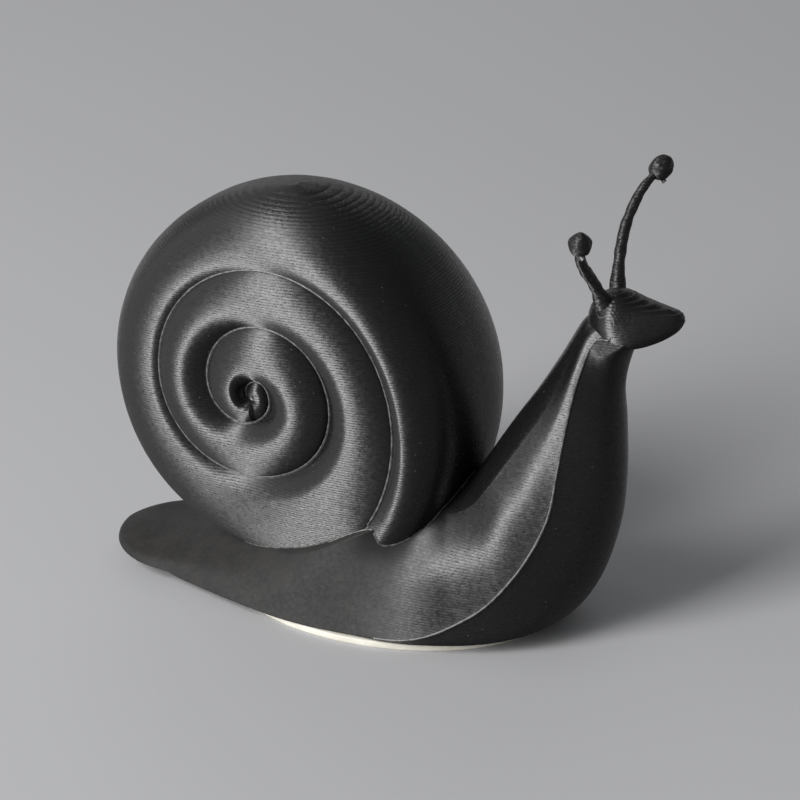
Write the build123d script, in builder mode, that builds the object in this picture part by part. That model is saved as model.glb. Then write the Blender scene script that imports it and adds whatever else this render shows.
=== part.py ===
from build123d import *
from math import cos, radians, sin
import os

# Snail figurine, in millimetres. X points forward to the snout, Z up, and the
# origin lies on the ground below the middle of the figurine's length.

# Driving sizes of the whole figurine
length = 71.8
head_height = 42.6
foot_width = 30.0

# Sizes of the pad under the foot
pad_thickness = 0.8
pad_width = 29.0
pad_length = 40.0
pad_centre = 0.5

# Sizes of the tail
tail_rounding = 11.0
tail_width = 20.6

# Sizes of the shell
shell_radius = 25.0
shell_thickness = 26.6
shell_centre_x = -12.2
shell_centre_z = 26.3
whorl_rise = 1.5
rim_wall = 0.9
seam_lap = 0.35
seam_drop = 0.35
nub_radius = 2.9
nub_rise = 1.2
seat_clearance = 0.15

# Peg that locates the shell in the body
peg_diameter = 4.0
peg_place = -4.5
peg_foot = 3.5
peg_top = 14.0
peg_clearance = 0.15

# Sizes of the head and the eye stalks
head_width = 8.4
head_depth = 6.2
stalk_diameter = 1.15
left_stalk_reach = 11.9
left_stalk_spread = 10.1
right_stalk_reach = 10.2
right_stalk_spread = 9.7
pin_diameter = 1.2
pin_length = 3.0
pin_clearance = 0.1
knob_width = 2.7
knob_height = 3.2

half_length = length / 2
foot_half = foot_width / 2

# Seam of the spiral at each quarter turn, from half a turn before the top
seam_radius_shares = (
    0.036, 0.064, 0.076, 0.068, 0.116, 0.240, 0.352, 0.388, 0.396,
    0.504, 0.632, 0.720, 0.872, 0.872, 0.936, 0.992, 1.100,
)
seam_height_shares = (
    0.635, 0.660, 0.690, 0.705, 0.720, 0.725, 0.730, 0.730, 0.730,
    0.730, 0.737, 0.790, 0.885, 0.925, 0.950, 0.975, 1.000,
)
first_seam_share = -0.5
seam_step_share = 0.25

# Stretches of the coil, as shares of a turn from the first top, each lofted by itself
coil_span_shares = ((0.5, 1.25), (1.25, 2.0), (2.0, 2.4), (2.4, 2.9), (2.9, 3.4))
sections_in_span = 7

# Over these turns the outer whorl goes from a domed roll to a round rim
settling_share = 2.36
settled_share = 2.57
first_crest_share = 0.5
crest_share = 0.32

# Sections of the body from the tail to the throat, each a plane through a back
# point and a sole point. The columns are back x, back z, sole x, sole z, then
# depth and half width of the bilge, the margin, the flank and the back's edge.
body_section_shares = (
    (-1.042, 0.065, -1.042, 0.046, 0.97, 0.50, 0.700, 0.660, 0.350, 0.600, 0.120, 0.400),
    (-0.833, 0.078, -0.833, 0.027, 0.97, 0.50, 0.700, 0.660, 0.360, 0.600, 0.120, 0.400),
    (-0.719, 0.093, -0.719, 0.021, 0.97, 0.52, 0.720, 0.668, 0.370, 0.605, 0.120, 0.405),
    (-0.611, 0.115, -0.611, 0.014, 0.98, 0.60, 0.760, 0.733, 0.400, 0.660, 0.140, 0.430),
    (-0.389, 0.175, -0.389, 0.012, 0.99, 0.72, 0.860, 0.880, 0.480, 0.780, 0.170, 0.520),
    (-0.167, 0.222, -0.167, 0.012, 0.99, 0.92, 0.920, 0.980, 0.500, 0.927, 0.100, 0.753),
    (0.056, 0.318, 0.056, 0.012, 0.99, 0.96, 0.940, 1.000, 0.450, 0.967, 0.060, 0.760),
    (0.208, 0.371, 0.264, 0.012, 0.99, 0.90, 0.903, 0.953, 0.450, 0.927, 0.080, 0.620),
    (0.286, 0.397, 0.472, 0.014, 0.97, 0.67, 0.740, 0.833, 0.400, 0.813, 0.110, 0.533),
    (0.342, 0.446, 0.640, 0.040, 0.91, 0.53, 0.625, 0.747, 0.370, 0.693, 0.140, 0.500),
    (0.389, 0.507, 0.745, 0.153, 0.88, 0.39, 0.607, 0.640, 0.360, 0.613, 0.150, 0.467),
    (0.428, 0.561, 0.808, 0.317, 0.88, 0.34, 0.610, 0.540, 0.380, 0.533, 0.168, 0.413),
    (0.475, 0.624, 0.826, 0.469, 0.88, 0.28, 0.563, 0.447, 0.380, 0.447, 0.200, 0.367),
    (0.542, 0.709, 0.819, 0.622, 0.88, 0.24, 0.524, 0.373, 0.390, 0.373, 0.250, 0.317),
    (0.614, 0.812, 0.811, 0.739, 0.87, 0.20, 0.486, 0.323, 0.370, 0.313, 0.250, 0.260),
    (0.675, 0.906, 0.817, 0.845, 0.83, 0.15, 0.384, 0.225, 0.280, 0.215, 0.180, 0.175),
    (0.708, 0.930, 0.806, 0.895, 0.83, 0.08, 0.450, 0.110, 0.300, 0.100, 0.180, 0.080),
)

# Sections of the head: x, middle z, half depth and half width
head_section_shares = (
    (0.706, 0.930, 0.42, 0.38),
    (0.739, 0.932, 0.81, 0.74),
    (0.792, 0.927, 1.00, 1.00),
    (0.861, 0.920, 0.87, 0.95),
    (0.931, 0.927, 0.61, 0.71),
    (0.981, 0.939, 0.35, 0.40),
    (1.000, 0.944, 0.11, 0.14),
)

# Root of an eye stalk in the head: x, half width, the head's middle z and half depth
stalk_root_shares = (0.7604, 0.5, 0.931, 0.561)

# Path of an eye stalk: forward, sideways and up, then its thickness
stalk_path_shares = (
    (0.000, 0.000, 0.000, 1.80),
    (-0.030, 0.090, 0.170, 1.20),
    (-0.060, 0.240, 0.360, 1.00),
    (-0.080, 0.430, 0.540, 0.92),
    (-0.060, 0.610, 0.710, 0.82),
    (-0.010, 0.760, 0.860, 0.68),
    (0.080, 1.000, 1.000, 0.58),
)
root_radius = stalk_diameter / 2 * stalk_path_shares[0][3]


def smooth(values, place):
    """Value at a place between the listed ones, on a smooth curve."""
    index = min(max(int(place), 0), len(values) - 2)
    rest = place - index
    before = values[max(index - 1, 0)]
    start, end = values[index], values[index + 1]
    after = values[min(index + 2, len(values) - 1)]
    first = (end - before) / 2
    second = (after - start) / 2
    bend = 2 * start - 2 * end + first + second
    slope = 3 * (end - start) - 2 * first - second
    return start + first * rest + slope * rest**2 + bend * rest**3


def seam_radius(turn):
    return shell_radius * smooth(seam_radius_shares, (turn - first_seam_share) / seam_step_share)


def seam_height(turn):
    return shell_thickness / 2 * smooth(seam_height_shares, (turn - first_seam_share) / seam_step_share)


def between(first, last, share):
    return first + (last - first) * share


def settled(turn):
    """How far the last whorl has settled into its round rim, from none to all."""
    share = min(max((turn - settling_share) / (settled_share - settling_share), 0), 1)
    return share**2 * (3 - 2 * share)


def coil_plane(turn):
    """Upright plane through the coil's axis, its x pointing outwards."""
    angle = radians(360 * turn)
    outwards = Vector(sin(angle), 0, cos(angle))
    across = Vector(0, 1, 0)
    centre = Vector(shell_centre_x, 0, shell_centre_z)
    return Plane(origin=centre, x_dir=outwards, z_dir=outwards.cross(across))


def whorl_section(turn, grow):
    """Section of a whorl, domed on both sides, with its outer wall between the domes."""
    inner, outer = seam_radius(turn - 1) - seam_lap, seam_radius(turn) + grow
    low, high = seam_height(turn - 1) - seam_drop + grow, seam_height(turn) - seam_drop
    first_top = (seam_height(turn - 1) + seam_height(turn)) / 2
    top = between(first_top, seam_height(turn - 1), settled(turn)) + whorl_rise + grow
    wall = between(high, rim_wall, settled(turn)) + grow
    crest = between(inner, outer, between(first_crest_share, crest_share, settled(turn)))
    knee = (inner + crest) / 2
    with BuildSketch(coil_plane(turn)) as section:
        with BuildLine():
            Line((inner, -low), (inner, low))
            Bezier((inner, low), (knee, top), (crest, top))
            EllipticalCenterArc((crest, wall), outer - crest, top - wall, 0, arc_size=90)
            Line((outer, wall), (outer, -wall))
            EllipticalCenterArc((crest, -wall), outer - crest, top - wall, -90, arc_size=90)
            Bezier((crest, -top), (knee, -top), (inner, -low))
        make_face()
    return section.sketch


def coil(grow):
    """The coiled shell, grown all round by a clearance where it cuts its seat."""
    centre = Vector(shell_centre_x, 0, shell_centre_z)
    low = seam_height(0) + grow
    top = low + nub_rise
    with BuildPart() as coiled:
        with BuildSketch(Plane(origin=centre)):
            with BuildLine():
                Line((0, -top), (0, top))
                Bezier((0, top), (nub_radius, top), (nub_radius, low))
                Line((nub_radius, low), (nub_radius, -low))
                Bezier((nub_radius, -low), (nub_radius, -top), (0, -top))
            make_face()
        revolve(axis=Axis(centre, (0, 1, 0)))
        for start, end in coil_span_shares:
            loft(sections=[whorl_section(turn, grow) for turn in steps_between(start, end)])
    return coiled.part


def steps_between(start, end):
    """Places of the sections of one stretch of the coil."""
    return [start + (end - start) * step / sections_in_span for step in range(sections_in_span + 1)]


def other(point):
    """The same point of a section on the other side of the body."""
    return Vector(point.X, -point.Y)


def body_section(shares):
    """Section of the body through a back point and a sole point."""
    back_x, back_z, sole_x, sole_z = shares[:4]
    back = Vector(half_length * back_x, 0, head_height * back_z)
    sole = Vector(half_length * sole_x, 0, head_height * sole_z)
    depth = (sole - back).length
    bilge, margin, flank, edge = [
        Vector(depth * shares[column], foot_half * shares[column + 1]) for column in (4, 6, 8, 10)
    ]
    across = Vector(0, 1, 0)
    with BuildSketch(Plane(origin=back, x_dir=sole - back, z_dir=(sole - back).cross(across))) as section:
        with BuildLine():
            Spline(other(margin), other(bilge), (depth, 0), bilge, margin)
            Spline(margin, flank, edge)
            ThreePointArc(edge, (0, 0), other(edge))
            Spline(other(edge), other(flank), other(margin))
        make_face()
    return section.sketch


def head_section(shares):
    """Oval section of the head, upright across the snail."""
    x, z, depth, width = shares
    middle = Vector(half_length * x, 0, head_height * z)
    with BuildSketch(Plane(origin=middle, x_dir=(0, 1, 0), z_dir=(1, 0, 0))) as section:
        Ellipse(head_width / 2 * width, head_depth / 2 * depth)
    return section.sketch


def stalk_root(side):
    """Place in the head where the stalk on one side is seated."""
    x, width, z, depth = stalk_root_shares
    height = head_height * z + head_depth / 2 * depth
    return Vector(half_length * x, side * head_width / 2 * width, height)


def eye_stalk(side, reach, spread):
    """A tapered stalk, its knob and its pin, on one side of the head."""
    root = stalk_root(side)
    points = [
        root + Vector(reach * forward, side * spread * sideways, reach * up)
        for forward, sideways, up, thickness in stalk_path_shares
    ]
    path = Spline(points, tangents=[(0, 0, 1), points[-1] - points[-2]])
    rings = []
    for point, shares in zip(points, stalk_path_shares):
        with BuildSketch(Plane(origin=point, z_dir=path.tangent_at(point))) as ring:
            Circle(stalk_diameter / 2 * shares[3])
        rings.append(ring.sketch)
    axis = path.tangent_at(1)
    with BuildPart() as stalk:
        loft(sections=rings)
        with BuildSketch(Plane(origin=points[-1], x_dir=axis, z_dir=axis.cross(Vector(0, 1, 0)))):
            with BuildLine():
                EllipticalCenterArc((0, 0), knob_height / 2, knob_width / 2, 0, arc_size=180)
                Line((-knob_height / 2, 0), (knob_height / 2, 0))
            make_face()
        revolve(axis=Axis(points[-1], axis))
        with Locations(root):
            Cylinder(pin_diameter / 2, pin_length, align=(Align.CENTER, Align.CENTER, Align.MAX))
    return stalk.part


# The body: foot, neck and head in one print, with the seats of the other pieces
with BuildPart() as body:
    loft(sections=[body_section(shares) for shares in body_section_shares])
    with BuildSketch(Plane.XY):
        with Locations((-half_length, 0)):
            Rectangle(2 * tail_rounding, 2 * foot_width)
        with Locations((tail_rounding - half_length, 0)):
            Ellipse(tail_rounding, tail_width / 2, mode=Mode.SUBTRACT)
    extrude(amount=head_height, mode=Mode.SUBTRACT)
    with BuildSketch(Plane.XY.offset(pad_thickness)):
        Rectangle(2 * length, 2 * foot_width)
    extrude(amount=-head_height, mode=Mode.SUBTRACT)
    loft(sections=[head_section(shares) for shares in head_section_shares])
    add(coil(seat_clearance), mode=Mode.SUBTRACT)
    with Locations((peg_place, 0, peg_foot - peg_clearance)):
        Cylinder(peg_diameter / 2 + peg_clearance, peg_top, mode=Mode.SUBTRACT,
                 align=(Align.CENTER, Align.CENTER, Align.MIN))
    for side in (-1, 1):
        with Locations(stalk_root(side) - Vector(0, 0, pin_clearance)):
            Cylinder(root_radius + pin_clearance, head_depth / 2, mode=Mode.SUBTRACT,
                     align=(Align.CENTER, Align.CENTER, Align.MIN))
            Cylinder(pin_diameter / 2 + pin_clearance, pin_length + pin_clearance,
                     mode=Mode.SUBTRACT, align=(Align.CENTER, Align.CENTER, Align.MAX))

# The shell, with the peg that locates it in the body
with BuildPart() as shell:
    add(coil(0))
    with Locations((peg_place, 0, peg_foot)):
        Cylinder(peg_diameter / 2, peg_top - peg_foot,
                 align=(Align.CENTER, Align.CENTER, Align.MIN))

# The eye stalks, each with its knob on top and its pin in the head
with BuildPart() as left_eye_stalk:
    add(eye_stalk(1, left_stalk_reach, left_stalk_spread))

with BuildPart() as right_eye_stalk:
    add(eye_stalk(-1, right_stalk_reach, right_stalk_spread))

# The pale pad under the foot
with BuildPart() as base_pad:
    with BuildSketch(Plane.XY):
        with Locations((pad_centre, 0)):
            Ellipse(pad_length / 2, pad_width / 2)
    extrude(amount=pad_thickness)

body.part.label = "body"
shell.part.label = "shell"
right_eye_stalk.part.label = "right_eye_stalk"
left_eye_stalk.part.label = "left_eye_stalk"
base_pad.part.label = "base_pad"

os.makedirs("parts", exist_ok=True)
export_step(body.part, "parts/body.step")
export_step(shell.part, "parts/shell.step")
export_step(right_eye_stalk.part, "parts/right_eye_stalk.step")
export_step(left_eye_stalk.part, "parts/left_eye_stalk.step")
export_step(base_pad.part, "parts/base_pad.step")
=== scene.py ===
from math import cos, pi, radians, sin

import bpy
import numpy as np
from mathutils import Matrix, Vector


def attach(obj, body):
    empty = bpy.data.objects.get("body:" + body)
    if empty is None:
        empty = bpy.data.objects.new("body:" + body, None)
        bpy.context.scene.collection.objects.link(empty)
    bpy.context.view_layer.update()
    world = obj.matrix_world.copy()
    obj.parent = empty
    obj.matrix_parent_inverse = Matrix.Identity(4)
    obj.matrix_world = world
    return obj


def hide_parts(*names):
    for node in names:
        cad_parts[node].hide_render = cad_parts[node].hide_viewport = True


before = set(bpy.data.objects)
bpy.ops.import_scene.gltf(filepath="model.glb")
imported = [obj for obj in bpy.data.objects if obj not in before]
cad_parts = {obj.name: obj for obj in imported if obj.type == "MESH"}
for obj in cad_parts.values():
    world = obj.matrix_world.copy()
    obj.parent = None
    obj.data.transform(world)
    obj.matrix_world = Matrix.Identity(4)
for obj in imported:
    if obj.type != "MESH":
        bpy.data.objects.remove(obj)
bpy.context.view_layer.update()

# Sizes are written in millimetres, and the meshes are made in metres
MM = 0.001

# Overall sizes
length = 71.8
head_height = 42.6
foot_width = 30.0
half_length = length / 2
foot_half = foot_width / 2

# Sizes of the shell
shell_radius = 24.75
shell_thickness = 26.6
shell_centre_x = -12.2
shell_centre_z = 26.3
rim_wall = 0.9
nub_rise = 0.9

# Seam of the spiral at each quarter turn, as shares of the radius and half thickness
first_seam_share = -0.5
seam_step_share = 0.25
last_seam_share = 3.41
seam_radius_shares = (
    0.000, 0.052, 0.076, 0.068, 0.116, 0.240, 0.352, 0.388, 0.396,
    0.504, 0.632, 0.720, 0.872, 0.872, 0.936, 0.992, 1.100,
)
seam_height_shares = (
    0.690, 0.690, 0.700, 0.705, 0.720, 0.725, 0.730, 0.730, 0.730,
    0.730, 0.737, 0.790, 0.885, 0.925, 0.950, 0.975, 1.000,
)

# The turns at which the last whorl starts and ends settling into its round rim, and the turn
# where that whorl begins
settling_share = 2.36
settled_share = 2.57
open_share = last_seam_share - 1

# Ridge of each whorl at the same quarter turns: its place between the seams, and its rise
ridge_shares = (
    0.50, 0.30, 0.37, 0.46, 0.35, 0.24, 0.36, 0.49, 0.42,
    0.48, 0.41, 0.42, 0.20, 0.14, 0.20, 0.28, 0.34,
)
ridge_rises = (
    1.0, 1.2, 1.5, 1.7, 1.9, 1.8, 2.2, 2.3, 2.1,
    1.6, 1.9, 1.9, 1.1, 0.4, 0.7, 1.5, -1.5,
)

# How far a whorl's fall to its outer seam goes from an ellipse to a parabola
ridge_roundness = 0.6

# The power of the ellipse at the same quarter turns: above two, the whorl is flatter and fuller
ridge_powers = (
    2.0, 2.0, 2.0, 2.0, 2.0, 2.0, 2.0, 2.0, 2.0,
    2.0, 2.0, 2.0, 2.2, 2.3, 2.0, 2.0, 2.0,
)

# Counts of the shell's mesh
columns_in_turn = 160
rows_on_face = 22
rows_on_wall = 8

# The tail's rounded end: its length, its rows, how close the first is to the tip, and how full
# the tip stays as it thins
tail_rounding = 11.0
tail_rows = 26
tip_angle = 0.12
tip_thickness = 1.6

# Sections of the body from the tail to the throat: back x, back z, sole x, sole z,
# then depth and half width of the bilge, the margin, the flank and the back's edge
body_section_shares = (
    (-1.042, 0.065, -1.042, 0.046, 0.97, 0.50, 0.700, 0.660, 0.350, 0.600, 0.120, 0.400),
    (-0.833, 0.078, -0.833, 0.027, 0.97, 0.50, 0.700, 0.660, 0.360, 0.600, 0.120, 0.400),
    (-0.719, 0.093, -0.719, 0.021, 0.97, 0.52, 0.720, 0.668, 0.370, 0.605, 0.120, 0.405),
    (-0.611, 0.115, -0.611, 0.014, 0.98, 0.60, 0.760, 0.733, 0.400, 0.660, 0.140, 0.430),
    (-0.389, 0.175, -0.389, 0.012, 0.99, 0.72, 0.860, 0.880, 0.480, 0.780, 0.170, 0.520),
    (-0.167, 0.222, -0.167, 0.012, 0.99, 0.82, 0.920, 0.960, 0.500, 0.872, 0.100, 0.785),
    (0.056, 0.318, 0.056, 0.012, 0.99, 0.82, 0.940, 0.962, 0.450, 0.838, 0.060, 0.840),
    (0.208, 0.371, 0.264, 0.012, 0.99, 0.80, 0.903, 0.953, 0.450, 0.800, 0.080, 0.430),
    (0.286, 0.397, 0.472, 0.014, 0.97, 0.67, 0.740, 0.850, 0.400, 0.732, 0.110, 0.465),
    (0.342, 0.446, 0.640, 0.040, 0.91, 0.53, 0.625, 0.747, 0.370, 0.666, 0.140, 0.480),
    (0.389, 0.507, 0.745, 0.153, 0.88, 0.39, 0.607, 0.640, 0.360, 0.598, 0.150, 0.457),
    (0.428, 0.561, 0.808, 0.317, 0.88, 0.34, 0.610, 0.540, 0.380, 0.514, 0.168, 0.405),
    (0.475, 0.624, 0.826, 0.469, 0.88, 0.28, 0.563, 0.447, 0.380, 0.427, 0.200, 0.360),
    (0.542, 0.709, 0.819, 0.622, 0.88, 0.24, 0.524, 0.373, 0.390, 0.360, 0.250, 0.312),
    (0.614, 0.812, 0.811, 0.739, 0.87, 0.20, 0.486, 0.323, 0.370, 0.313, 0.250, 0.260),
    (0.675, 0.906, 0.838, 0.845, 0.86, 0.25, 0.440, 0.265, 0.300, 0.250, 0.180, 0.190),
    (0.708, 0.930, 0.895, 0.895, 0.86, 0.22, 0.480, 0.215, 0.300, 0.190, 0.180, 0.120),
)
rows_between_sections = 14
columns_on_stretch = 14

# Columns of that table where the bilge, the margin, the flank and the back's edge start
outline_columns = (4, 6, 8, 10)

# Sizes of the head, and its sections from the neck to the snout: x, z, depth and width
head_width = 8.4
head_depth = 6.2
head_section_shares = (
    (0.700, 0.930, 0.10, 0.10),
    (0.706, 0.930, 0.42, 0.38),
    (0.739, 0.932, 0.81, 0.74),
    (0.792, 0.927, 1.00, 1.00),
    (0.861, 0.920, 0.87, 0.95),
    (0.931, 0.927, 0.61, 0.71),
    (0.981, 0.939, 0.35, 0.40),
    (1.000, 0.944, 0.06, 0.08),
)
head_rows = 260
head_columns = 144

# How far the head's top turns into steps, and how steep they are
terrace_share = 0.95
terrace_sharpness = 3.0

# Sizes of the eye stalks: the root's x, width, z and depth on the head, then places forward,
# sideways and up along the path, with the thickness there
stalk_diameter = 1.15
stalk_reaches = {"left": 11.9, "right": 10.2}
stalk_spreads = {"left": 10.1, "right": 9.7}
stalk_root_shares = (0.7604, 0.5, 0.931, 0.561)
stalk_path_shares = (
    (0.000, 0.000, 0.000, 1.90),
    (-0.030, 0.090, 0.170, 1.32),
    (-0.060, 0.240, 0.360, 1.14),
    (-0.080, 0.430, 0.540, 1.10),
    (-0.060, 0.610, 0.710, 1.02),
    (-0.010, 0.760, 0.860, 0.88),
    (0.080, 1.000, 1.000, 0.74),
)
stalk_rows = 90
stalk_columns = 28

# Waves that make a stalk uneven: how quickly each runs, and how far it differs by side
stalk_unevenness = 0.10
stalk_waves = ((61, 1), (37, 2), (19, 0))

# Sizes of the knobs, which take the place of a stalk's last rows and follow their direction
knob_width = 2.7
knob_height = 3.2
knob_taper = -0.07
knob_rows = 40
knob_overlap = 6
knob_axis_rows = 4
knob_start_angle = -1.25
knob_end_gap = 0.03
knob_tip_rise = 0.03

# The flattened sides of a knob: their depth, how often they come, and their turn and twist
knob_facet = 0.09
facet_rate = 2.5
facet_turn = 0.7
facet_twist = 0.05

# Short burrs of plastic at the foot of each knob, from the knob's middle
burr_places = ((0.05, 0.00, -1.20), (0.30, -0.10, -1.45), (0.50, -0.15, -1.62))
burr_radius = 0.30

# Sizes of the pad under the foot, whose edges are rounded over
pad_length = 40.0
pad_width = 29.0
pad_thickness = 0.8
pad_centre = 0.5
pad_edge = pad_thickness / 6
pad_bevel = pad_edge * 0.3
pad_columns = 128

# The raised threads of plastic along the seams and creases
thread_radius = 0.14
cheek_thread_radius = 0.05
thread_step = 0.12
thread_unevenness = 0.9
thread_lump_scale = 900.0
thread_sides = 8

# Where the threads run: along the coil from its first visible turn, along the crease above one x
# and below one z, round the cheek through listed places, and between two x beside the shell
first_visible_turn = -0.28
suture_points = 420
crease_start = 5.0
crease_top = 36.9
cheek_seam_places = (
    (26.45, -3.45, 37.35), (27.60, -3.75, 38.05), (28.70, -3.95, 38.15), (29.25, -4.15, 39.00),
    (29.32, -4.15, 40.00), (29.05, -3.80, 40.85), (28.20, -3.80, 40.85), (27.45, -3.65, 40.55),
    (26.85, -3.05, 40.95), (25.95, -1.60, 41.35),
)
cheek_corner = 2
corner_points = 20
cheek_points = 60
junction_start = -16.0
junction_end = 20.0

# Height of a printed layer
layer_height = 0.3

# Colours of the printed plastic, the painted shade in its bead crevices and pits, its dust, the
# matt foot, the threads, the pad, the floor and the room
dark_crown = (0.0090, 0.0090, 0.0094)
# Painted shade: the colour that the crevices between layer beads are darkened to
painted_crevice_shade = (0.0045, 0.0045, 0.0048)
dust_colour = (0.10, 0.10, 0.10)
# Painted shade: the dark that tiny pits are painted with
painted_pit_shade = (0.004, 0.004, 0.004)
matt_dark = (0.0095, 0.0087, 0.0082)
matt_pale = (0.0185, 0.0168, 0.0155)
thread_dark = (0.035, 0.034, 0.032)
thread_pale = (0.13, 0.124, 0.115)
cream_dark = (0.66, 0.63, 0.55)
cream_pale = (0.76, 0.73, 0.65)
floor_colour = (0.52, 0.52, 0.53)
room_colour = (0.94, 0.97, 1.0)

# The layer lines' pattern: scales of its noises per metre, and shifts that tell them apart
sway_scale = 90.0
grain_scale = 1900.0
layer_shift = 5.37
side_grain_shift = (31.7, 11.3, 0.0)
streak_scales = (3000.0, 3000.0, 16000.0)

# How far a surface that faces up keeps its upward normal, the most that a normal may rise, and
# the small push that gives a level direction where the surface faces straight up
upward_power = 5.0
upward_rise = 0.62
most_rise = 0.97
level_push = (1e-5, 0, 0)

# Dust, and pits painted dark as shade: the shift of each pattern, the share of its cells that stay
# empty, and how strongly each covers the plastic
speck_kinds = {
    "Dust": ((0.013, 0.002, 0.007), 0.95),
    "Pit Shade": ((0.002, 0.019, 0.003), 0.93),
}
dust_cover = 0.7
pit_shade_cover = 0.8

# The printed finishes: bulge and grain of the beads, streaks, roughness, and for the foot the x
# where it starts to turn matt and the x where it is fully matt
printed_finishes = {
    "dark_printed_plastic": {"bulge": 0.32, "grain": 0.07, "streaks": 0.75, "roughness": 0.30},
    "dark_printed_foot": {
        "bulge": 0.18, "grain": 0.07, "streaks": 0.6, "roughness": 0.30, "matt": (13.0, 1.0),
    },
    "dark_printed_stalks": {"bulge": 0.5, "grain": 0.9, "streaks": 1.4, "roughness": 0.42},
}

# What makes the printed plastic rougher: grain, dust, facing up, and being matt
grain_roughness = 0.25
dust_roughness = 0.4
top_roughness = 0.30
matt_roughness = 0.40

# The matt foot: its ragged edge, the share of the lines that it loses, how strongly its colours
# cover the plastic, and its mottle
matt_edge_scale = 260.0
matt_edge_detail = 3.0
matt_edge_reach = 0.006
matt_line_loss = 0.8
matt_cover = 0.8
matt_mottle = {"scale": 420.0, "detail": 4.0, "reach": 0.22}

# The mottled finishes: two colours, the mottle and its lumps, the roughness, what the mottle adds
# to it, and how strongly the surface reflects
mottled_finishes = {
    "thread_plastic": {
        "colours": (thread_dark, thread_pale),
        "marks": {"scale": 1500.0, "detail": 2.0, "reach": 0.2, "lump_scale": 6000.0},
        "roughness": 0.32, "added_roughness": 0.12, "specular": 0.8,
    },
    "cream_pad": {
        "colours": (cream_dark, cream_pale),
        "marks": {"scale": 350.0, "detail": 3.0, "reach": 0.2, "lump_scale": 4000.0},
        "roughness": 0.55, "added_roughness": 0.15, "specular": 0.5,
    },
}
lump_height = 0.00002

# How the printed plastic reflects, and the floor's roughness
plastic_ior = 1.5
printed_specular = 0.5
floor_roughness = 0.8

# The camera, at the photograph's angle
camera_azimuth = radians(25.5)
camera_elevation = radians(22.5)
camera_distance = 0.300
camera_target = Vector((1.65, 0, 24.9)) * MM
pixels_per_mm = 8.6
image_size = 800
sensor_width = 36
nearest_seen = 0.01

# Each lamp: azimuth from the front towards the tail, elevation, size and power
lamp_distance = 0.75
lamp_target = (0, 0, 0.025)
lamps = {
    "window": (26.0, 27.0, (0.29, 0.70), 8.0),
    "window_side": (68.0, 27.0, (0.78, 0.70), 1.1),
    "window_back": (154.5, 24.0, (0.90, 0.40), 1.0),
}

# Strength of the room's light, and how far the floor reaches to each side
room_strength = 0.13
floor_reach = 2000

# Both sides of the snail, as signs
both_sides = (1, -1)


# Curves through listed places

def smooth(values, place):
    """Rows of values at any places between the listed ones, on a smooth curve."""
    values = np.asarray(values, float)
    place = np.atleast_1d(place)
    index = np.clip(place.astype(int), 0, len(values) - 2)
    rest = (place - index).reshape((-1,) + (1,) * (values.ndim - 1))
    before, start = values[np.maximum(index - 1, 0)], values[index]
    end, after = values[index + 1], values[np.minimum(index + 2, len(values) - 1)]
    first, second = (end - before) / 2, (after - start) / 2
    bend = 2 * start - 2 * end + first + second
    slope = 3 * (end - start) - 2 * first - second
    return start + first * rest + slope * rest**2 + bend * rest**3


def eased(share):
    """A share from 0 to 1 that starts and ends gently."""
    return share**2 * (3 - 2 * share)


def quarter_turns(turn):
    """Where a turn lies in the tables of the seam and the ridge."""
    return (turn - first_seam_share) / seam_step_share


def seam_radius(turn):
    return shell_radius * smooth(seam_radius_shares, quarter_turns(turn))


def seam_height(turn):
    return shell_thickness / 2 * smooth(seam_height_shares, np.maximum(quarter_turns(turn), 0))


def settled(turn):
    """How far the last whorl has settled into its round rim, from none to all."""
    return eased(np.clip((turn - settling_share) / (settled_share - settling_share), 0, 1))


def ridge_share(turn):
    return smooth(ridge_shares, quarter_turns(turn))


def ridge_rise(turn):
    return smooth(ridge_rises, quarter_turns(turn))


def ridge_power(turn):
    return smooth(ridge_powers, quarter_turns(turn))


def between(first, last, share):
    return first + (last - first) * share


# Meshes

def mesh_piece(name, points, faces, material):
    """A smooth piece from points in millimetres and its faces."""
    mesh = bpy.data.meshes.new(name)
    mesh.from_pydata([tuple(point) for point in np.asarray(points) * MM], [], faces)
    mesh.validate()
    mesh.materials.append(material)
    mesh.shade_smooth()
    piece = bpy.data.objects.new(name, mesh)
    bpy.context.collection.objects.link(piece)
    return piece


def ring_faces(rows, columns):
    """Quads between rings of points, each of which closes on itself."""
    faces = []
    for here in range(0, (rows - 1) * columns, columns):
        there = here + columns
        for column in range(columns):
            following = (column + 1) % columns
            faces.append((here + column, here + following, there + following, there + column))
    return faces


def tube_piece(name, rings, tips, material, turned=False):
    """A closed skin through rings of points, with a tip at each end and faces turned on request."""
    rows, columns = rings.shape[:2]
    tip = rows * columns
    base = tip - columns
    faces = ring_faces(rows, columns)
    faces += [(tip, (step + 1) % columns, step) for step in range(columns)]
    faces += [(tip + 1, base + step, base + (step + 1) % columns) for step in range(columns)]
    if turned:
        faces = [face[::-1] for face in faces]
    return mesh_piece(name, np.vstack([rings.reshape(-1, 3), tips]), faces, material)


def ring_angles(columns):
    return np.arange(columns) * 2 * pi / columns


def unit(vector):
    return vector / np.linalg.norm(vector)


def spaced(count):
    """Shares from 0 to 1, closer together at both ends."""
    return (1 - np.cos(np.linspace(0, pi, count))) / 2


# Shell

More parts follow.
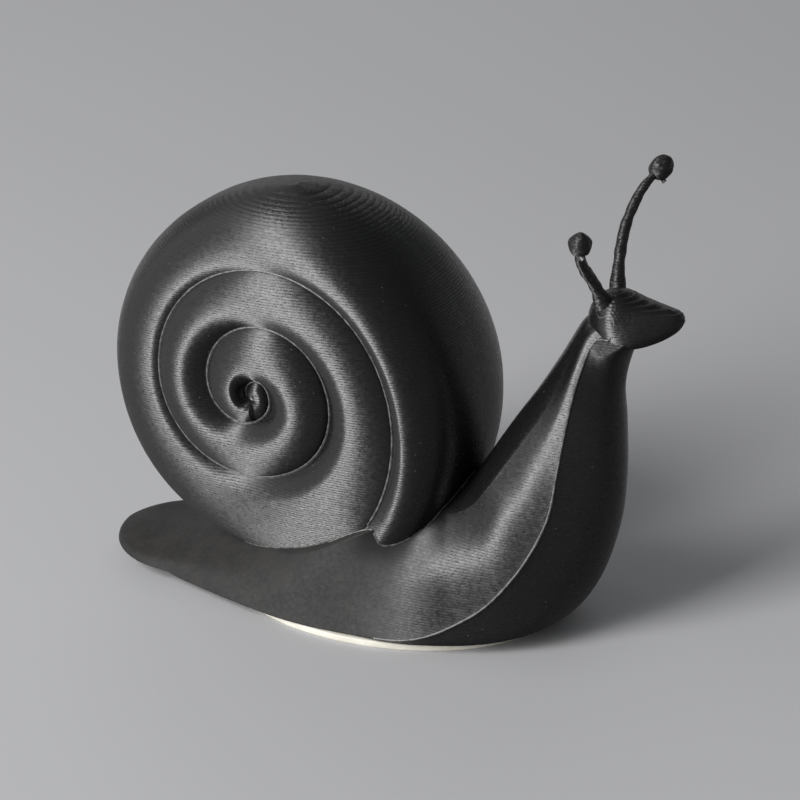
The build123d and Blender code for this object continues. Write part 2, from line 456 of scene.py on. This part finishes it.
def whorl_profile(turn):
    """Radius and height across a whorl from its inner seam to its outer one."""
    inner, outer = seam_radius(turn - 1)[0], seam_radius(turn)[0]
    low, high = seam_height(turn - 1)[0], seam_height(turn)[0]
    if turn - 1 < first_seam_share:
        inner, low = 0.0, high + nub_rise
    top = between((low + high) / 2, low, settled(turn)) + ridge_rise(turn)[0]
    if turn - 1 < first_seam_share:
        top = low
    wall = between(high, rim_wall, settled(turn))
    crest = between(inner, outer, ridge_share(turn)[0])
    climb = np.linspace(0, 1, rows_on_face // 2 + 1)
    inward = np.stack([
        inner + (crest - inner) * climb,
        low + (top - low) * (2 * climb - climb**2),
    ], 1)
    angle = np.linspace(pi / 2, 0, rows_on_face // 2 + 1)[1:]
    rounded = ridge_roundness * (1 - settled(turn))
    power = ridge_power(turn)[0]
    ellipse = np.maximum(1 - np.cos(angle)**power, 0)**(1 / power)
    fall = rounded * np.sin(angle)**2 + (1 - rounded) * ellipse
    outward = np.stack([
        crest + (outer - crest) * np.cos(angle),
        wall + (top - wall) * fall,
    ], 1)
    return np.vstack([inward, outward])


def shell_point(turn, radius, height, side):
    angle = 2 * pi * turn
    x = shell_centre_x + radius * sin(angle)
    z = shell_centre_z + radius * cos(angle)
    return (x, -side * height, z)


def shell_columns():
    """Turns of the mesh's columns, one turn apart where whorls share a seam."""
    count = int(round((last_seam_share - first_seam_share) * columns_in_turn))
    return [first_seam_share + step / columns_in_turn for step in range(count + 1)]


def shell_key(side, index, row, rows):
    """What a mesh point is known by, which is the same for both whorls along their seam."""
    inner = index - columns_in_turn
    if index == 0 or (row == 0 and inner <= 0):
        return (side, "middle")
    if row == 0:
        return (side, inner, rows - 1)
    return (side, index, row)


def strip_faces(columns, turned):
    """Faces between neighbouring columns of points, without doubled corners."""
    faces = []
    for first, second in zip(columns, columns[1:]):
        for row in range(len(first) - 1):
            quad = [first[row], first[row + 1], second[row + 1], second[row]]
            quad = [spot for step, spot in enumerate(quad) if spot not in quad[:step]]
            if len(quad) > 2:
                faces.append(tuple(quad[::-1] if turned else quad))
    return faces


def make_shell(material):
    """The coil as one closed skin, whose neighbouring whorls share their seam."""
    turns = shell_columns()
    profiles = [whorl_profile(turn) for turn in turns]
    points, names = [], {}

    def vertex(key, place):
        if key not in names:
            names[key] = len(points)
            points.append(place)
        return names[key]

    columns = {side: [] for side in both_sides}
    for side in both_sides:
        for index, (turn, profile) in enumerate(zip(turns, profiles)):
            columns[side].append([
                vertex(shell_key(side, index, row, len(profile)), shell_point(turn, *place, side))
                for row, place in enumerate(profile)
            ])
    walls = []
    open_index = int(round((open_share - first_seam_share) * columns_in_turn))
    for index in range(open_index, len(turns)):
        radius, height = profiles[index][-1]
        wall = [columns[1][index][-1]]
        for step in range(1, rows_on_wall):
            place = shell_point(turns[index], radius, height * (1 - 2 * step / rows_on_wall), 1)
            wall.append(vertex(("wall", index, step), place))
        walls.append(wall + [columns[-1][index][-1]])
    faces = strip_faces(columns[1], True) + strip_faces(columns[-1], False)
    faces += strip_faces(walls, True)
    mouth = columns[1][-1] + walls[-1][1:-1] + columns[-1][-1][::-1] + walls[0][1:-1][::-1]
    faces.append(tuple(mouth[::-1]))
    return mesh_piece("shell_skin", points, faces, material)


def shell_clearance(points):
    """Distance outside the last whorl's skin, roughly, for points in millimetres."""
    x = points[:, 0] - shell_centre_x
    z = points[:, 2] - shell_centre_z
    angle = np.mod(np.arctan2(x, z) / (2 * pi), 1)
    turns = angle + np.ceil(open_share - angle)
    clearances = []
    for turn, radius, y in zip(turns, np.hypot(x, z), points[:, 1]):
        profile = whorl_profile(turn)
        beyond = radius - profile[-1, 0]
        height = np.interp(radius, profile[:, 0], profile[:, 1])
        clearances.append(beyond if beyond > 0 else abs(y) - height)
    return np.array(clearances)


# Body

def arc_through(first, middle, last, count):
    """Points of a circular arc through three places."""
    first, middle, last = (np.asarray(spot, float) for spot in (first, middle, last))
    chord, rise = last - first, middle - (first + last) / 2
    half, sagitta = np.linalg.norm(chord) / 2, np.linalg.norm(rise)
    radius = (half**2 + sagitta**2) / (2 * sagitta)
    centre = middle - rise / sagitta * radius
    start, end = first - centre, last - centre
    first_angle = np.arctan2(start[1], start[0])
    sweep = np.arctan2(start[0] * end[1] - start[1] * end[0], start @ end)
    angles = first_angle + sweep * np.linspace(0, 1, count)
    return centre + radius * np.stack([np.cos(angles), np.sin(angles)], 1)


def body_outline(depth, shares):
    """Half outline of a section from the sole's middle to the back's middle."""
    bilge, margin, flank, edge = (
        np.array([depth * shares[column], foot_half * shares[column + 1]])
        for column in outline_columns
    )
    mirror = np.array([1, -1])
    sole = np.array([depth, 0.0])
    belly = smooth([margin * mirror, bilge * mirror, sole, bilge, margin],
                   np.linspace(2, 4, 2 * columns_on_stretch + 1))
    belly[:, 1] = np.minimum(belly[:, 1], max(margin[1], bilge[1]))
    side = smooth([margin, flank, edge], 2 * spaced(2 * columns_on_stretch + 1))
    back = arc_through(edge, (0, 0), edge * mirror, 2 * columns_on_stretch + 1)
    return np.vstack([belly, side[1:], back[1:columns_on_stretch + 1]])


# The column of the body's grid that follows the margin
margin_column = 2 * columns_on_stretch


def body_grid():
    """Rings of points round the body, from the tail's tip to the throat."""
    rows = (len(body_section_shares) - 1) * rows_between_sections + 1
    places = np.linspace(0, len(body_section_shares) - 1, rows)
    grid = []
    for shares in smooth(body_section_shares, places):
        back = np.array([half_length * shares[0], 0, head_height * shares[1]])
        sole = np.array([half_length * shares[2], 0, head_height * shares[3]])
        depth = np.linalg.norm(sole - back)
        down = (sole - back) / depth
        half = body_outline(depth, shares)
        ring = np.vstack([half, (half * [1, -1])[-2:0:-1]])
        points = back + ring[:, :1] * down
        points[:, 1] = -ring[:, 1]
        grid.append(points)
    grid = end_tail(np.array(grid))
    grid[..., 2] = np.maximum(grid[..., 2], pad_thickness)
    return grid


def end_tail(grid):
    """The grid with the tail's rows drawn to the tip's rounded outline."""
    inside = np.nonzero(grid[:, :, 0].mean(1) > -half_length)[0][0]
    grid = grid[inside:]
    tail_x = tail_rounding - half_length
    last = np.nonzero(grid[:, :, 0].mean(1) > tail_x)[0][0]
    source = grid[:last + 1]
    source_x = source[:, :, 0].mean(1)
    join_width = np.abs(grid[last, :, 1]).max()
    rounded = []
    for angle in np.linspace(pi / 2, tip_angle, tail_rows)[::-1]:
        x = tail_x - tail_rounding * cos(angle)
        row = np.array([
            [np.interp(x, source_x, source[:, column, axis]) for axis in range(3)]
            for column in range(grid.shape[1])
        ])
        widest = np.abs(row[:, 1]).max()
        middle = row[:, 2].mean()
        row[:, 0] = x
        row[:, 1] *= join_width * sin(angle) / widest
        row[:, 2] = between(middle, row[:, 2], min(1, tip_thickness * sin(angle))**0.5)
        rounded.append(row)
    return np.vstack([np.array(rounded), grid[last:]])


def make_body(grid, material):
    """Foot and neck in one closed skin, with a sharp margin and back edge."""
    tips = (grid[0].mean(0), grid[-1].mean(0))
    return tube_piece("body_skin", grid, tips, material, turned=True)


# Head

def terrace(height):
    """The height with the steps that level layers leave on a shallow slope."""
    layer, share = divmod(height / layer_height, 1)
    share = min(max((share - 0.5) * terrace_sharpness + 0.5, 0), 1)
    return layer_height * (layer + eased(share))


def head_ring(x, z, depth, width):
    """One oval section of the head, stepped where it faces up."""
    ring = []
    for angle in ring_angles(head_columns):
        height = head_height * z + head_depth / 2 * depth * sin(angle)
        height += terrace_share * max(sin(angle), 0) * (terrace(height) - height)
        ring.append((half_length * x, head_width / 2 * width * cos(angle), height))
    return ring


def make_head(material):
    """The head as a run of oval sections, closed at the neck and the snout."""
    places = np.linspace(0, len(head_section_shares) - 1, head_rows)
    rings = np.array([head_ring(*shares) for shares in smooth(head_section_shares, places)])
    return tube_piece("head_skin", rings, (rings[0].mean(0), rings[-1].mean(0)), material)


# Threads of plastic along the seams

def suture_path(side):
    """The seam between the whorls on one face, from the middle outwards."""
    turns = np.linspace(first_visible_turn, settling_share, suture_points)
    proud = seam_height(turns) + thread_radius / 2
    return [
        shell_point(turn, radius, height, side)
        for turn, radius, height in zip(turns, seam_radius(turns), proud)
    ]


def crease_path(grid, side):
    """The crease from the pad up the neck and on to the middle of the cheek."""
    line = grid[:, side * margin_column]
    line = line[(line[:, 0] > crease_start) & (line[:, 2] < crease_top)]
    corner = np.array(cheek_seam_places[:cheek_corner + 1]) * (1, side, 1)
    return np.vstack([line, smooth(corner, np.linspace(0, cheek_corner, corner_points))])


def cheek_path(side):
    """The fainter seam from the crease's corner round the cheek to the stalk's root."""
    cheek = np.array(cheek_seam_places[cheek_corner:]) * (1, side, 1)
    return smooth(cheek, np.linspace(0, len(cheek) - 1, cheek_points))


def junction_path(grid, side):
    """Where the foot's skin passes into the shell, one place in each row."""
    line = []
    for row in grid:
        if not junction_start < row[margin_column, 0] < junction_end:
            continue
        strip = row[margin_column:grid.shape[1] // 2 + 1]
        gap = shell_clearance(strip)
        inside = np.nonzero((gap[1:] <= 0) & (gap[:-1] > 0))[0]
        if len(inside):
            first = inside[0]
            share = gap[first] / (gap[first] - gap[first + 1])
            line.append(between(strip[first], strip[first + 1], share) * (1, side, 1))
    return np.array(line)


def thread_nodes(material):
    """Lays a round thread, thicker and thinner by turns, along a run of edges."""
    tree = bpy.data.node_groups.new("seam_thread", "GeometryNodeTree")
    face = tree.interface
    face.new_socket("Geometry", in_out="INPUT", socket_type="NodeSocketGeometry")
    sizes = {}
    for name in ("Thread Radius", "Step", "Unevenness"):
        size = face.new_socket(name, in_out="INPUT", socket_type="NodeSocketFloat")
        sizes[name] = size.identifier
    face.new_socket("Geometry", in_out="OUTPUT", socket_type="NodeSocketGeometry")
    given = add_node(tree, "NodeGroupInput").outputs
    curve = add_node(tree, "GeometryNodeMeshToCurve")
    feed(tree, curve.inputs["Mesh"], given["Geometry"])
    stepped = add_node(tree, "GeometryNodeResampleCurve", mode="LENGTH")
    feed(tree, stepped.inputs["Curve"], curve.outputs[0])
    feed(tree, stepped.inputs["Length"], given["Step"])
    place = add_node(tree, "GeometryNodeInputPosition").outputs[0]
    lumps = noise(tree, place, thread_lump_scale)
    circle = add_node(tree, "GeometryNodeCurvePrimitiveCircle")
    feed(tree, circle.inputs["Resolution"], thread_sides)
    feed(tree, circle.inputs["Radius"], given["Thread Radius"])
    tube = add_node(tree, "GeometryNodeCurveToMesh")
    feed(tree, tube.inputs["Curve"], stepped.outputs[0])
    feed(tree, tube.inputs["Profile Curve"], circle.outputs[0])
    feed(tree, tube.inputs["Scale"], plus_share(tree, 1.0, lumps, given["Unevenness"]))
    feed(tree, tube.inputs["Fill Caps"], True)
    whole = add_node(tree, "GeometryNodeRealizeInstances")
    feed(tree, whole.inputs[0], tube.outputs[0])
    coloured = add_node(tree, "GeometryNodeSetMaterial")
    feed(tree, coloured.inputs["Geometry"], whole.outputs[0])
    feed(tree, coloured.inputs["Material"], material)
    end = add_node(tree, "NodeGroupOutput")
    feed(tree, end.inputs[0], coloured.outputs[0])
    return tree, sizes


def make_threads(name, paths, thread, radius):
    """One plain mesh with a thread along each path."""
    tree, sizes = thread
    points, edges = [], []
    for path in paths:
        start = len(points)
        points += [tuple(np.asarray(place) * MM) for place in path]
        edges += [(step, step + 1) for step in range(start, len(points) - 1)]
    lines = bpy.data.meshes.new(name + "_paths")
    lines.from_pydata(points, edges, [])
    piece = bpy.data.objects.new(name, lines)
    bpy.context.collection.objects.link(piece)
    modifier = piece.modifiers.new("thread", "NODES")
    modifier.node_group = tree
    modifier[sizes["Thread Radius"]] = radius * MM
    modifier[sizes["Step"]] = thread_step * MM
    modifier[sizes["Unevenness"]] = thread_unevenness
    bpy.context.view_layer.update()
    shaped = piece.evaluated_get(bpy.context.evaluated_depsgraph_get())
    plain = bpy.data.meshes.new_from_object(shaped)
    piece.modifiers.clear()
    piece.data = plain
    bpy.data.meshes.remove(lines)
    plain.name = name
    plain.shade_smooth()
    return piece


# Eye stalks

def stalk_root(side):
    x, width, z, depth = stalk_root_shares
    height = head_height * z + head_depth / 2 * depth
    return np.array([half_length * x, side * head_width / 2 * width, height])


def stalk_table(name, side):
    """Place from the root and radius at each listed point of a stalk."""
    reach, spread = stalk_reaches[name], stalk_spreads[name]
    return np.array(stalk_path_shares) * (reach, side * spread, reach, stalk_diameter / 2)


def stalk_line(name, side):
    """Centres and uneven radii up a stalk."""
    table = stalk_table(name, side)
    path = smooth(table, np.linspace(0, len(table) - 1, stalk_rows))
    along = np.linspace(0, 1, stalk_rows)
    waves = sum(np.sin(along * rate + side * shift) for rate, shift in stalk_waves)
    unevenness = 1 + stalk_unevenness * waves / len(stalk_waves)
    return path[:, :3] + stalk_root(side), path[:, 3] * unevenness


def knob_line(middle, axis):
    """Centres and radii of a knob, from the stalk to its tip."""
    angles = np.linspace(knob_start_angle, pi / 2 - knob_end_gap, knob_rows)
    centres = [middle + axis * knob_height / 2 * sin(angle) for angle in angles]
    radii = [knob_width / 2 * cos(angle) * (1 + knob_taper * sin(angle)) for angle in angles]
    return centres, radii


def stalk_ring(centre, ahead, radii):
    """Points round a stalk, square to its direction."""
    across = unit(np.cross(ahead, (1, 0, 0)))
    third = np.cross(ahead, across)
    return [
        centre + radius * (across * cos(angle) + third * sin(angle))
        for angle, radius in zip(ring_angles(stalk_columns), radii)
    ]


def make_stalk(name, side, material):
    """A tapered stalk that swells into its knob, as one closed skin."""
    centres, radii = stalk_line(name, side)
    axis = unit(centres[-1] - centres[-knob_axis_rows])
    knob_centres, knob_radii = knob_line(centres[-1], axis)
    centres = np.vstack([centres[:-knob_overlap], knob_centres])
    radii = np.append(radii[:-knob_overlap], knob_radii)
    knob_start = len(centres) - knob_rows
    rings = []
    for row, (centre, radius) in enumerate(zip(centres, radii)):
        ahead = unit(centres[min(row + 1, len(centres) - 1)] - centres[max(row - 1, 0)])
        ring_radii = np.full(stalk_columns, radius)
        if row >= knob_start:
            turned = facet_rate * ring_angles(stalk_columns) + facet_turn + row * facet_twist
            ring_radii = radius * (1 - knob_facet * np.abs(np.sin(turned)))
        rings.append(stalk_ring(centre, ahead, ring_radii))
    tips = (centres[0], centres[-1] + axis * knob_tip_rise)
    return tube_piece(name + "_stalk_skin", np.array(rings), tips, material)


def burr_path(name, side):
    """A stub of drawn-out plastic below the knob."""
    middle = stalk_root(side) + stalk_table(name, side)[-1, :3]
    return [middle + np.array(place) for place in burr_places]


# Pad

def make_pad(material):
    """The oval pad, with its edges rounded over."""
    rings = [(-pad_edge, 0.0), (-pad_bevel, pad_bevel), (0.0, pad_edge)]
    rings += [(inset, pad_thickness - z) for inset, z in rings[::-1]]
    points = []
    for inset, z in rings:
        for angle in ring_angles(pad_columns):
            points.append((
                pad_centre + (pad_length / 2 + inset) * cos(angle),
                (pad_width / 2 + inset) * sin(angle), z,
            ))
    faces = ring_faces(len(rings), pad_columns)
    base = (len(rings) - 1) * pad_columns
    faces.append(tuple(range(pad_columns))[::-1])
    faces.append(tuple(base + step for step in range(pad_columns)))
    return mesh_piece("pad_skin", points, faces, material)


# Nodes

def add_node(tree, kind, **settings):
    node = tree.nodes.new(kind)
    for name, value in settings.items():
        setattr(node, name, value)
    return node


def feed(tree, socket, source):
    """Links a socket to another one, or sets it to a plain value."""
    if isinstance(source, bpy.types.NodeSocket):
        tree.links.new(source, socket)
    else:
        socket.default_value = source


def maths(tree, operation, *sources, clamp=False):
    node = add_node(tree, "ShaderNodeMath", operation=operation, use_clamp=clamp)
    for socket, source in zip(node.inputs, sources):
        feed(tree, socket, source)
    return node.outputs[0]


def minus(tree, first, second):
    return maths(tree, "SUBTRACT", first, second)


def times(tree, first, second):
    return maths(tree, "MULTIPLY", first, second)


def plus_share(tree, base, value, weight, clamp=False):
    """A base value with a weighted other one added."""
    return maths(tree, "ADD", base, times(tree, value, weight), clamp=clamp)


def vectors(tree, operation, *sources):
    node = add_node(tree, "ShaderNodeVectorMath", operation=operation)
    for socket, source in zip(node.inputs, sources):
        feed(tree, socket, source)
    return node.outputs["Vector"]


def scaled(tree, vector, amount):
    node = add_node(tree, "ShaderNodeVectorMath", operation="SCALE")
    feed(tree, node.inputs[0], vector)
    feed(tree, node.inputs["Scale"], amount)
    return node.outputs["Vector"]


def object_place(tree):
    """The place on the piece, in metres."""
    return add_node(tree, "ShaderNodeTexCoord").outputs["Object"]


def axes(tree, vector):
    """The X, Y and Z of a vector."""
    node = add_node(tree, "ShaderNodeSeparateXYZ")
    feed(tree, node.inputs[0], vector)
    return node.outputs


def noise(tree, vector, scale, detail=2.0):
    """Noise around zero, from about minus a half to a half."""
    node = add_node(tree, "ShaderNodeTexNoise", noise_dimensions="3D")
    for name, source in (("Vector", vector), ("Scale", scale), ("Detail", detail)):
        feed(tree, node.inputs[name], source)
    return minus(tree, node.outputs["Fac"], 0.5)


def ramp_between(tree, value, low, high):
    """A soft step from 0 at the low value to 1 at the high one."""
    node = add_node(tree, "ShaderNodeMapRange", interpolation_type="SMOOTHSTEP")
    for name, source in (("Value", value), ("From Min", low), ("From Max", high)):
        feed(tree, node.inputs[name], source)
    return node.outputs["Result"]


def mixed_colour(tree, share, first, second):
    """A mix of two colours, each a plain one or a socket."""
    node = add_node(tree, "ShaderNodeMix", data_type="RGBA")
    feed(tree, node.inputs["Factor"], share)
    for name, source in (("A", first), ("B", second)):
        socket = [item for item in node.inputs if item.name == name and item.type == "RGBA"][0]
        feed(tree, socket, source if isinstance(source, bpy.types.NodeSocket) else (*source, 1))
    return [item for item in node.outputs if item.type == "RGBA"][0]


def new_group(name, inputs, outputs):
    """A shader node group with number inputs and the given outputs."""
    group = bpy.data.node_groups.new(name, "ShaderNodeTree")
    for socket, value in inputs.items():
        made = group.interface.new_socket(socket, in_out="INPUT", socket_type="NodeSocketFloat")
        made.default_value = value
    for socket, kind in outputs.items():
        group.interface.new_socket(socket, in_out="OUTPUT", socket_type="NodeSocket" + kind)
    start = add_node(group, "NodeGroupInput")
    end = add_node(group, "NodeGroupOutput")
    return group, start.outputs, end.inputs


def place_group(tree, group, **values):
    """The outputs of a group that is placed in a tree with its own values."""
    node = add_node(tree, "ShaderNodeGroup", node_tree=group)
    for name, value in values.items():
        feed(tree, node.inputs[name.replace("_", " ").title()], value)
    return node.outputs


# Shader node groups

def layer_beads(tree, place, given):
    """The number of the layer at a place, and how far across its bead that place lies."""
    sway = times(tree, noise(tree, place, sway_scale, 1.0), given["Sway"])
    layers = maths(tree, "DIVIDE", axes(tree, place)["Z"], given["Layer Height"])
    layers = maths(tree, "ADD", layers, sway)
    layer = maths(tree, "FLOOR", layers)
    return layer, minus(tree, minus(tree, layers, layer), 0.5)


def grain_place(tree, place, layer):
    """Places that differ from one layer to the next, for grain that stays within a bead."""
    parts = axes(tree, place)
    joined = add_node(tree, "ShaderNodeCombineXYZ")
    for name in ("X", "Y"):
        feed(tree, joined.inputs[name], times(tree, parts[name], grain_scale))
    feed(tree, joined.inputs["Z"], times(tree, layer, layer_shift))
    return joined.outputs[0]


def level_directions(tree, normal):
    """The normal laid level, and the level direction along the surface."""
    level = vectors(tree, "MULTIPLY", normal, (1, 1, 0))
    level = vectors(tree, "NORMALIZE", vectors(tree, "ADD", level, level_push))
    return level, vectors(tree, "CROSS_PRODUCT", level, (0, 0, 1))


def bent_normal(tree, normal, rise, swing):
    """The normal with a new rise, and swung sideways a little."""
    level, sideways = level_directions(tree, normal)
    rise = maths(tree, "MINIMUM", maths(tree, "MAXIMUM", rise, -most_rise), most_rise)
    reach = maths(tree, "SQRT", minus(tree, 1.0, times(tree, rise, rise)))
    bent = vectors(tree, "ADD", scaled(tree, level, reach), scaled(tree, (0, 0, 1), rise))
    bent = vectors(tree, "ADD", bent, scaled(tree, sideways, swing))
    return vectors(tree, "NORMALIZE", bent)


def layer_lines_group():
    """Level beads of plastic, which turn the normal up and down across each layer."""
    group, given, out = new_group(
        "layer_lines",
        {
            "Layer Height": 0.0003, "Bulge": 0.35, "Lift": 0.3,
            "Streaks": 0.75, "Grain": 0.1, "Sway": 0.1,
        },
        {"Normal": "Vector", "Crown": "Float", "Grain": "Float", "Upward": "Float"},
    )
    place = object_place(group)
    layer, across = layer_beads(group, place, given)
    grained = grain_place(group, place, layer)
    grain = noise(group, grained, 1.0, 1.0)
    side_grain = noise(group, vectors(group, "ADD", grained, side_grain_shift), 1.0, 1.0)
    streaks = noise(group, vectors(group, "MULTIPLY", place, streak_scales), 1.0)
    normal = add_node(group, "ShaderNodeNewGeometry").outputs["Normal"]
    upright = maths(group, "MAXIMUM", axes(group, normal)["Z"], 0.0)
    upward = maths(group, "POWER", upright, upward_power)
    rise = plus_share(group, given["Lift"], upward, upward_rise)
    for value, name in ((across, "Bulge"), (grain, "Grain"), (streaks, "Streaks")):
        rise = plus_share(group, rise, value, given[name])
    swing = times(group, side_grain, given["Grain"])
    feed(group, out["Normal"], bent_normal(group, normal, rise, swing))
    # Crown is 1 on a bead's crown and 0 in the crevice between beads, where it paints shade
    middle = times(group, maths(group, "ABSOLUTE", across), 2.0)
    feed(group, out["Crown"], minus(group, 1.0, middle))
    feed(group, out["Grain"], grain)
    feed(group, out["Upward"], upward)
    return group


def specks_group():
    """Sparse pale dust, and tiny pits whose dark is painted shade, each as a mask."""
    group, given, out = new_group(
        "specks", {"Spacing": 2000.0, "Size": 0.15}, {"Dust": "Float", "Pit Shade": "Float"},
    )
    place = object_place(group)
    for name, (shift, empty) in speck_kinds.items():
        cells = add_node(group, "ShaderNodeTexVoronoi", voronoi_dimensions="3D")
        feed(group, cells.inputs["Vector"], vectors(group, "ADD", place, shift))
        feed(group, cells.inputs["Scale"], given["Spacing"])
        tone = add_node(group, "ShaderNodeSeparateColor")
        feed(group, tone.inputs[0], cells.outputs["Color"])
        chosen = maths(group, "GREATER_THAN", tone.outputs[0], empty)
        close = maths(group, "LESS_THAN", cells.outputs["Distance"], given["Size"])
        feed(group, out[name], times(group, chosen, close))
    return group


def mottle_group():
    """A soft mottle as a mask, and finer lumps as a height."""
    group, given, out = new_group(
        "mottle", {"Scale": 400.0, "Detail": 3.0, "Reach": 0.2, "Lump Scale": 5000.0},
        {"Mottle": "Float", "Lumps": "Float"},
    )
    place = object_place(group)
    patches = noise(group, place, given["Scale"], given["Detail"])
    lowest = times(group, given["Reach"], -1.0)
    feed(group, out["Mottle"], ramp_between(group, patches, lowest, given["Reach"]))
    feed(group, out["Lumps"], noise(group, place, given["Lump Scale"]))
    return group


# Materials

def new_material(name):
    """An empty material with its surface shader in place."""
    material = bpy.data.materials.new(name)
    material.use_nodes = True
    tree = material.node_tree
    tree.nodes.clear()
    output = add_node(tree, "ShaderNodeOutputMaterial")
    surface = add_node(tree, "ShaderNodeBsdfPrincipled")
    tree.links.new(surface.outputs[0], output.inputs[0])
    return material, surface.inputs


def matt_share(tree, start, end):
    """How matt the foot is, from none at one x to fully at another, with a ragged edge."""
    place = object_place(tree)
    ragged = noise(tree, place, matt_edge_scale, matt_edge_detail)
    along = plus_share(tree, axes(tree, place)["X"], ragged, matt_edge_reach)
    return minus(tree, 1.0, ramp_between(tree, along, end * MM, start * MM))


def printed_material(name, bulge, grain, streaks, roughness, matt=None):
    """Dark satin plastic laid down in level beads, with painted shade in the crevices between them,
    a little dust and a few pits painted dark as shade.
    """
    material, surface = new_material(name)
    tree = material.node_tree
    share = matt_share(tree, *matt) if matt else 0.0
    lined = minus(tree, 1.0, times(tree, share, matt_line_loss))
    lines = place_group(
        tree, layer_lines, layer_height=layer_height * MM, grain=grain,
        bulge=times(tree, lined, bulge), streaks=times(tree, lined, streaks),
    )
    marks = place_group(tree, specks)
    # Painted shade: the crevices between the layer beads are painted darker than the crowns
    colour = mixed_colour(tree, lines["Crown"], painted_crevice_shade, dark_crown)
    colour = mixed_colour(tree, times(tree, marks["Dust"], dust_cover), colour, dust_colour)
    # Painted shade: tiny pits are painted darker than the plastic
    colour = mixed_colour(tree, times(tree, marks["Pit Shade"], pit_shade_cover), colour, painted_pit_shade)
    rough = plus_share(tree, roughness, lines["Grain"], grain_roughness)
    rough = plus_share(tree, rough, lines["Upward"], top_roughness)
    if matt:
        patches = place_group(tree, mottle, **matt_mottle)["Mottle"]
        matt_colour = mixed_colour(tree, patches, matt_dark, matt_pale)
        colour = mixed_colour(tree, times(tree, share, matt_cover), colour, matt_colour)
        rough = plus_share(tree, rough, share, matt_roughness)
    rough = plus_share(tree, rough, marks["Dust"], dust_roughness, clamp=True)
    feed(tree, surface["Base Color"], colour)
    feed(tree, surface["Roughness"], rough)
    feed(tree, surface["Normal"], lines["Normal"])
    surface["IOR"].default_value = plastic_ior
    surface["Specular IOR Level"].default_value = printed_specular
    return material


def mottled_material(name, colours, marks, roughness, added_roughness, specular):
    """Plastic with a mottle in its colour and roughness, and fine lumps."""
    material, surface = new_material(name)
    tree = material.node_tree
    marked = place_group(tree, mottle, **marks)
    feed(tree, surface["Base Color"], mixed_colour(tree, marked["Mottle"], *colours))
    rough = plus_share(tree, roughness, marked["Mottle"], added_roughness)
    feed(tree, surface["Roughness"], rough)
    bump = add_node(tree, "ShaderNodeBump")
    bump.inputs["Distance"].default_value = lump_height
    feed(tree, bump.inputs["Height"], marked["Lumps"])
    feed(tree, surface["Normal"], bump.outputs[0])
    surface["IOR"].default_value = plastic_ior
    surface["Specular IOR Level"].default_value = specular
    return material


def floor_material():
    material, surface = new_material("pale_floor")
    surface["Base Color"].default_value = (*floor_colour, 1)
    surface["Roughness"].default_value = floor_roughness
    return material


# Studio

def look_at(item, place, target):
    item.location = place
    item.rotation_euler = (Vector(target) - Vector(place)).to_track_quat("-Z", "Y").to_euler()


def make_camera():
    """The camera, whose view is the photograph's frame."""
    data = bpy.data.cameras.new("camera")
    camera = bpy.data.objects.new("camera", data)
    bpy.context.collection.objects.link(camera)
    back = Vector((
        sin(camera_azimuth) * cos(camera_elevation),
        -cos(camera_azimuth) * cos(camera_elevation),
        sin(camera_elevation),
    ))
    look_at(camera, camera_target + back * camera_distance, camera_target)
    focal = pixels_per_mm * camera_distance / MM
    data.sensor_width = sensor_width
    data.lens = sensor_width * focal / image_size
    data.clip_start = nearest_seen
    bpy.context.scene.camera = camera


def lamp_place(azimuth, elevation):
    azimuth, elevation = radians(azimuth), radians(elevation)
    return (
        -lamp_distance * sin(azimuth) * cos(elevation),
        -lamp_distance * cos(azimuth) * cos(elevation),
        lamp_distance * sin(elevation),
    )


def make_lamp(name, azimuth, elevation, size, power):
    """A soft lamp, as a lit rectangle that faces the snail."""
    data = bpy.data.lights.new(name, "AREA")
    data.shape = "RECTANGLE"
    data.size, data.size_y = size
    data.energy = power
    lamp = bpy.data.objects.new(name, data)
    bpy.context.collection.objects.link(lamp)
    look_at(lamp, lamp_place(azimuth, elevation), lamp_target)


def make_floor():
    corners = ((-1, -1), (1, -1), (1, 1), (-1, 1))
    points = [(x * floor_reach, y * floor_reach, 0) for x, y in corners]
    floor = mesh_piece("floor", points, [(0, 1, 2, 3)], floor_material())


def make_world():
    world = bpy.data.worlds.new("room")
    world.use_nodes = True
    background = world.node_tree.nodes["Background"].inputs
    background[0].default_value = (*room_colour, 1)
    background[1].default_value = room_strength
    bpy.context.scene.world = world


# The shared effects, then the materials
layer_lines = layer_lines_group()
specks = specks_group()
mottle = mottle_group()
printed, printed_foot, printed_stalks = (
    printed_material(name, **finish) for name, finish in printed_finishes.items()
)
plastic_thread, cream = (
    mottled_material(name, **finish) for name, finish in mottled_finishes.items()
)

# The skins
shell = make_shell(printed)
body_rings = body_grid()
body = make_body(body_rings, printed_foot)
head = make_head(printed)
left_stalk = make_stalk("left", 1, printed_stalks)
right_stalk = make_stalk("right", -1, printed_stalks)
pad = make_pad(cream)

# The threads and burrs
thread = thread_nodes(plastic_thread)
shell_paths = [suture_path(side) for side in both_sides]
body_paths = [crease_path(body_rings, side) for side in both_sides]
body_paths += [junction_path(body_rings, side) for side in both_sides]
cheek_paths = [cheek_path(side) for side in both_sides]
burr_paths = [burr_path("left", 1), burr_path("right", -1)]
shell_threads = make_threads("shell_threads", shell_paths, thread, thread_radius)
body_threads = make_threads("body_threads", body_paths, thread, thread_radius)
cheek_threads = make_threads("cheek_threads", cheek_paths, thread, cheek_thread_radius)
stalk_burrs = make_threads("stalk_burrs", burr_paths, thread, burr_radius)

# Every piece rides on the one body, and five of them stand for the CAD solids
for piece, node in (
    (shell, "shell"), (body, "body"), (left_stalk, "left_eye_stalk"),
    (right_stalk, "right_eye_stalk"), (pad, "base_pad"),
):
    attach(piece, "root")
    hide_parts(node)
for piece in (head, shell_threads, body_threads, cheek_threads, stalk_burrs):
    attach(piece, "root")

# The studio
make_camera()
for name, lamp in lamps.items():
    make_lamp(name, *lamp)
make_floor()
make_world()
bpy.context.scene.view_settings.view_transform = "Standard"
